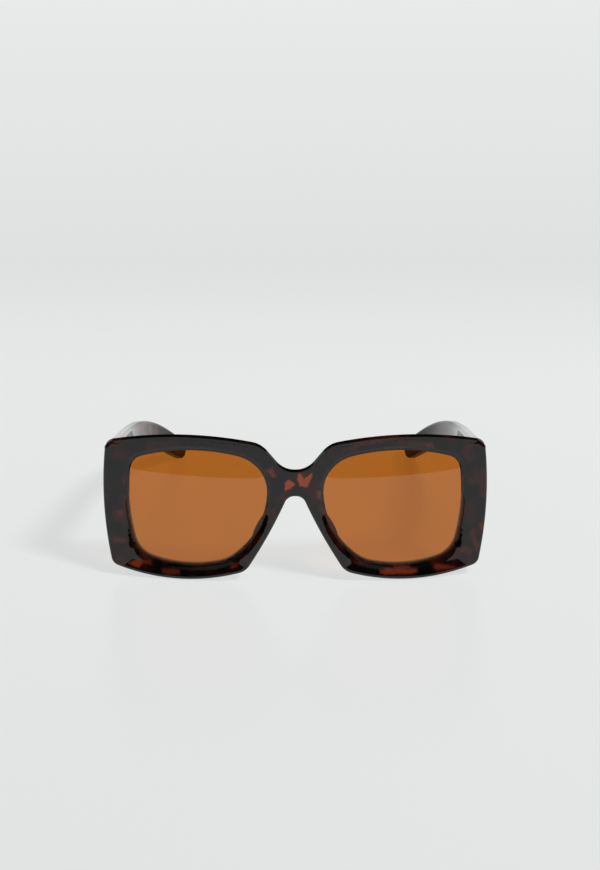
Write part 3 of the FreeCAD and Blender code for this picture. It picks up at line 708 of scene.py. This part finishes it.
def table_paint(settings):
    """Pale paint that shows shadows near the glasses and only its own colour far behind them."""
    graph = Graph(bpy.data.materials.new("pale_paint"))
    place = graph.place()
    floor, backdrop = tuple(settings.floor), tuple(settings.backdrop)
    mottle = graph.ramp(graph.noise(place, MOTTLE_SIZE), *NOISE_SPAN)
    lit = graph.principled({
        "Base Color": graph.mix(mottle, darker(floor, MOTTLE_DEPTH), floor),
        "Roughness": PAINT_ROUGHNESS, "Specular IOR Level": PAINT_GLOSS,
    })
    back = graph.axes(place)[1]
    fade = FRONT_Y + settings.fade_start, FRONT_Y + settings.fade_end
    seen = graph.principled({
        "Base Color": BLACK, "Roughness": MIRROR_ROUGHNESS, "Specular IOR Level": settings.floor_gloss,
        "Emission Color": graph.mix(graph.ramp(back, *fade), floor, backdrop), "Emission Strength": 1.0,
    })
    looks = graph.largest([graph.ray(kind) for kind in ("Camera", "Glossy", "Transmission")])
    glow = looks * graph.ramp(back, *fade, settings.floor_glow, 1.0)
    return graph.finish(graph.mix_shader(glow, lit, seen))


def make_table(settings):
    """A plain sheet that runs far back behind the glasses and turns up where the camera can't see it."""
    front, back = FRONT_Y - settings.table_edge, FRONT_Y + settings.table_back
    side = settings.table_side
    profile = ((front, 0.0), (back, 0.0), (back, settings.table_rise))
    corners = [(across, along, up) for along, up in profile for across in (-side, side)]
    mesh = bpy.data.meshes.new("table")
    mesh.from_pydata(corners, [], [(0, 1, 3, 2), (2, 3, 5, 4)])
    mesh.materials.append(table_paint(settings))
    table = bpy.data.objects.new("table", mesh)
    bpy.context.scene.collection.objects.link(table)


def direction(azimuth, elevation):
    """The way to a place in the room that lies at an azimuth to the right of the camera."""
    flat = math.cos(elevation)
    return Vector((math.sin(azimuth) * flat, -math.cos(azimuth) * flat, math.sin(elevation)))


def key_lamp(settings, target):
    """A soft square lamp on the right that faces the glasses and isn't mirrored in them."""
    data = bpy.data.lights.new("key_lamp", "AREA")
    data.energy = settings.key_power
    data.size = settings.key_size
    lamp = bpy.data.objects.new("key_lamp", data)
    lamp.visible_glossy = False
    bpy.context.scene.collection.objects.link(lamp)
    away = direction(settings.key_azimuth, settings.key_elevation)
    turn = away.to_track_quat("Z", "Y").to_matrix().to_4x4()
    lamp.matrix_world = Matrix.Translation(target + away * settings.key_distance) @ turn


def light_room(settings):
    """A dim room with a soft light high on either side, which the camera sees as a plain pale colour."""
    world = bpy.data.worlds.new("room")
    bpy.context.scene.world = world
    graph = Graph(world)
    ahead = graph.node("ShaderNodeTexCoord", output="Generated")
    sides = (SIDE_AZIMUTH, settings.right_light), (-SIDE_AZIMUTH, settings.left_light)
    right, left = [
        graph.ramp(graph.dot(ahead, direction(azimuth, SIDE_ELEVATION)), *SIDE_FADE, 0.0, brightness)
        for azimuth, brightness in sides
    ]
    dim, lit = graph.background(WHITE, settings.dim_light), graph.background(WHITE, 1.0)
    room = graph.mix_shader(right + left, dim, lit)
    seen = graph.background(tuple(settings.horizon), 1.0)
    graph.finish(graph.mix_shader(graph.ray("Camera"), room, seen))


def set_camera(settings, target):
    """A camera that sees a point of the front at its pixel of the picture."""
    data = bpy.data.cameras.new("camera")
    data.sensor_fit = "HORIZONTAL"
    data.lens = data.sensor_width * settings.focal_pixels / IMAGE_WIDTH
    data.clip_start = NEAREST_VIEW
    camera = bpy.data.objects.new("camera", data)
    bpy.context.scene.collection.objects.link(camera)
    away = direction(0.0, settings.elevation)
    lower = math.atan2(FRONT_PIXEL[1] - IMAGE_HEIGHT / 2, settings.focal_pixels)
    aside = math.atan2(IMAGE_WIDTH / 2 - FRONT_PIXEL[0], settings.focal_pixels)
    tilt = math.pi / 2 - settings.elevation + lower
    turn = Matrix.Rotation(-aside, 4, "Z") @ Matrix.Rotation(tilt, 4, "X")
    camera.matrix_world = Matrix.Translation(target + away * settings.distance) @ turn
    bpy.context.scene.camera = camera


class SUNGLASSES_OT_set_stage(bpy.types.Operator):
    """Set the pale table, the light and the camera"""

    bl_idname = "sunglasses.set_stage"
    bl_label = "Set the stage"

    def execute(self, context):
        settings = context.scene.sunglasses_stage
        target = Vector((0.0, FRONT_Y, AIM_HEIGHT))
        make_table(settings)
        key_lamp(settings, target)
        light_room(settings)
        set_camera(settings, target)
        context.scene.view_settings.view_transform = "Standard"
        return {"FINISHED"}


class SUNGLASSES_PT_panel(bpy.types.Panel):
    """Settings of the sunglasses and the steps that dress them"""

    bl_idname = "SUNGLASSES_PT_panel"
    bl_label = "Sunglasses"
    bl_space_type = "VIEW_3D"
    bl_region_type = "UI"
    bl_category = "Sunglasses"

    def draw(self, context):
        for name, group in SETTINGS.items():
            box = self.layout.box()
            for key in group.__annotations__:
                box.prop(getattr(context.scene, name), key)
        for operator in OPERATORS:
            self.layout.operator(operator.bl_idname)


SETTINGS = {
    "sunglasses_shell": ShellSettings,
    "sunglasses_lens": LensSettings,
    "sunglasses_metal": MetalSettings,
    "sunglasses_stage": StageSettings,
}

OPERATORS = (
    SUNGLASSES_OT_dress_front,
    SUNGLASSES_OT_dress_temples,
    SUNGLASSES_OT_dress_nose_pads,
    SUNGLASSES_OT_dress_lenses,
    SUNGLASSES_OT_dress_hinges,
    SUNGLASSES_OT_set_stage,
)


def register():
    for item in (*SETTINGS.values(), *OPERATORS, SUNGLASSES_PT_panel):
        bpy.utils.register_class(item)
    for name, group in SETTINGS.items():
        setattr(bpy.types.Scene, name, bpy.props.PointerProperty(type=group))


def unregister():
    for name in SETTINGS:
        delattr(bpy.types.Scene, name)
    for item in (SUNGLASSES_PT_panel, *reversed(OPERATORS), *reversed(list(SETTINGS.values()))):
        bpy.utils.unregister_class(item)


def main():
    register()
    for operator in OPERATORS:
        group, name = operator.bl_idname.split(".")
        getattr(getattr(bpy.ops, group), name)()


if __name__ == "__main__":
    main()
